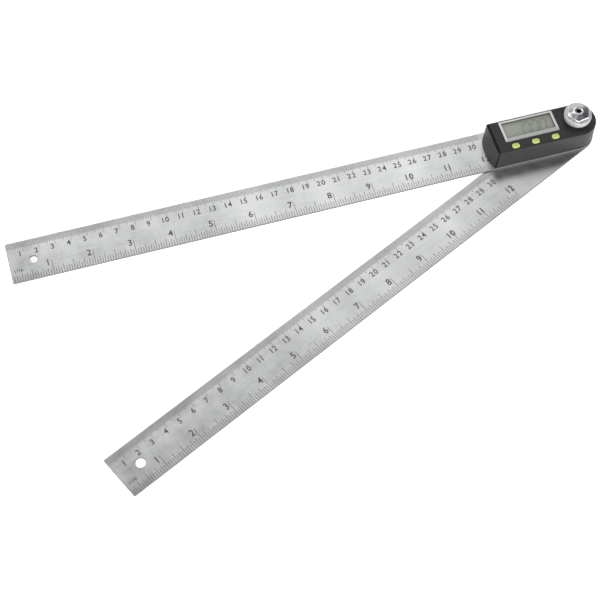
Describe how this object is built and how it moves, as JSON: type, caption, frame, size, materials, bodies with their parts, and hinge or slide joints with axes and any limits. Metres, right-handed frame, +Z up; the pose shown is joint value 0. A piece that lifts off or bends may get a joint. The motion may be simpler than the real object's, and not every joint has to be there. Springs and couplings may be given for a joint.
{
  "type": "digital angle finder",
  "caption": "Digital angle finder: steel ruler arms that turn on one pivot under a slim black display housing with keys, a bezelled screen and a bright lock knob.",
  "frame": {"origin": "on the pivot axis, on the underside of the pivot's riveted head, in the plane that the moving ruler lies on", "axes": "+Z up along the pivot axis; the fixed ruler and the display housing lie along -X from the pivot; the moving ruler is turned 25 degrees from it, towards -Y, at rest; +Y is towards the fixed ruler's centimetre edge"},
  "size_m": [0.3767, 0.1812, 0.0265],
  "materials": {
    "ruler_steel": "brushed, satin",
    "housing_black": "fine moulded texture",
    "inner_black": "moulded",
    "bezel_silver": "satin silver",
    "window_clear": "clear, polished",
    "lcd_green_grey": "grey-green liquid crystal panel",
    "strip_rubber": "moulded",
    "board_green": "solder mask",
    "chip_black": "moulded",
    "switch_black": "moulded",
    "plunger_ivory": "moulded",
    "button_lime": "satin moulded",
    "cell_nickel": "bright nickel",
    "contact_brass": "plain",
    "cap_black": "moulded",
    "hub_acetal": "turned",
    "shaft_steel": "turned",
    "bush_brass": "turned",
    "washer_nylon": "stamped",
    "ring_black": "black oxide",
    "washer_black": "stamped",
    "knob_chrome": "bright nickel-chrome plate",
    "screw_steel": "zinc plated"
  },
  "bodies": {
    "fixed_arm": {"fixed_ruler": "ruler_steel", "top_housing": "housing_black", "battery_tray": "inner_black", "display_bezel": "bezel_silver", "display_window": "window_clear", "lcd_panel": "lcd_green_grey", "lcd_contact_strips": "strip_rubber", "circuit_board": "board_green", "controller_chip": "chip_black", "switch_bodies": "switch_black", "battery_cell": "cell_nickel", "contact_positive": "contact_brass", "contact_negative": "contact_brass", "pivot_bush": "bush_brass", "thrust_washer": "washer_nylon", "wave_washer": "shaft_steel", "housing_screws": "screw_steel", "board_screws": "screw_steel"},
    "moving_arm": {"moving_ruler": "ruler_steel", "pivot_shaft": "shaft_steel", "retaining_ring": "ring_black", "encoder_hub": "hub_acetal", "encoder_disc": "board_green"},
    "clamp_washer": {"knob_washer": "washer_black"},
    "clamp_knob": {"lock_knob": "knob_chrome"},
    "left_key": {"button_left": "button_lime", "switch_plunger_left": "plunger_ivory"},
    "middle_key": {"button_middle": "button_lime", "switch_plunger_middle": "plunger_ivory"},
    "right_key": {"button_right": "button_lime", "switch_plunger_right": "plunger_ivory"},
    "cap": {"battery_cap": "cap_black"}
  },
  "joints": [
    {"name": "arm_turn", "type": "hinge", "parent": "fixed_arm", "child": "moving_arm", "pos_m": [0, 0, 0], "axis": [0, 0, 1], "continuous": true},
    {"name": "knob_rise", "type": "slide", "parent": "moving_arm", "child": "clamp_washer", "axis": [0, 0, 1], "range_m": [0, 0.0005]},
    {"name": "knob_turn", "type": "hinge", "parent": "clamp_washer", "child": "clamp_knob", "pos_m": [0, 0, 0.02], "axis": [0, 0, 1], "range_deg": [0, 180]},
    {"name": "left_key_press", "type": "slide", "parent": "fixed_arm", "child": "left_key", "axis": [0, 0, -1], "range_m": [0, 0.0005], "stiffness_N_per_m": 400},
    {"name": "middle_key_press", "type": "slide", "parent": "fixed_arm", "child": "middle_key", "axis": [0, 0, -1], "range_m": [0, 0.0005], "stiffness_N_per_m": 400},
    {"name": "right_key_press", "type": "slide", "parent": "fixed_arm", "child": "right_key", "axis": [0, 0, -1], "range_m": [0, 0.0005], "stiffness_N_per_m": 400},
    {"name": "cap_turn", "type": "hinge", "parent": "fixed_arm", "child": "cap", "pos_m": [-0.0336, 0, 0.002], "axis": [0, 0, 1], "range_deg": [0, 50]}
  ],
  "couplings": [
    {"joint": "knob_rise", "follows": "knob_turn", "m_per_rad": 0.00015915}
  ]
}
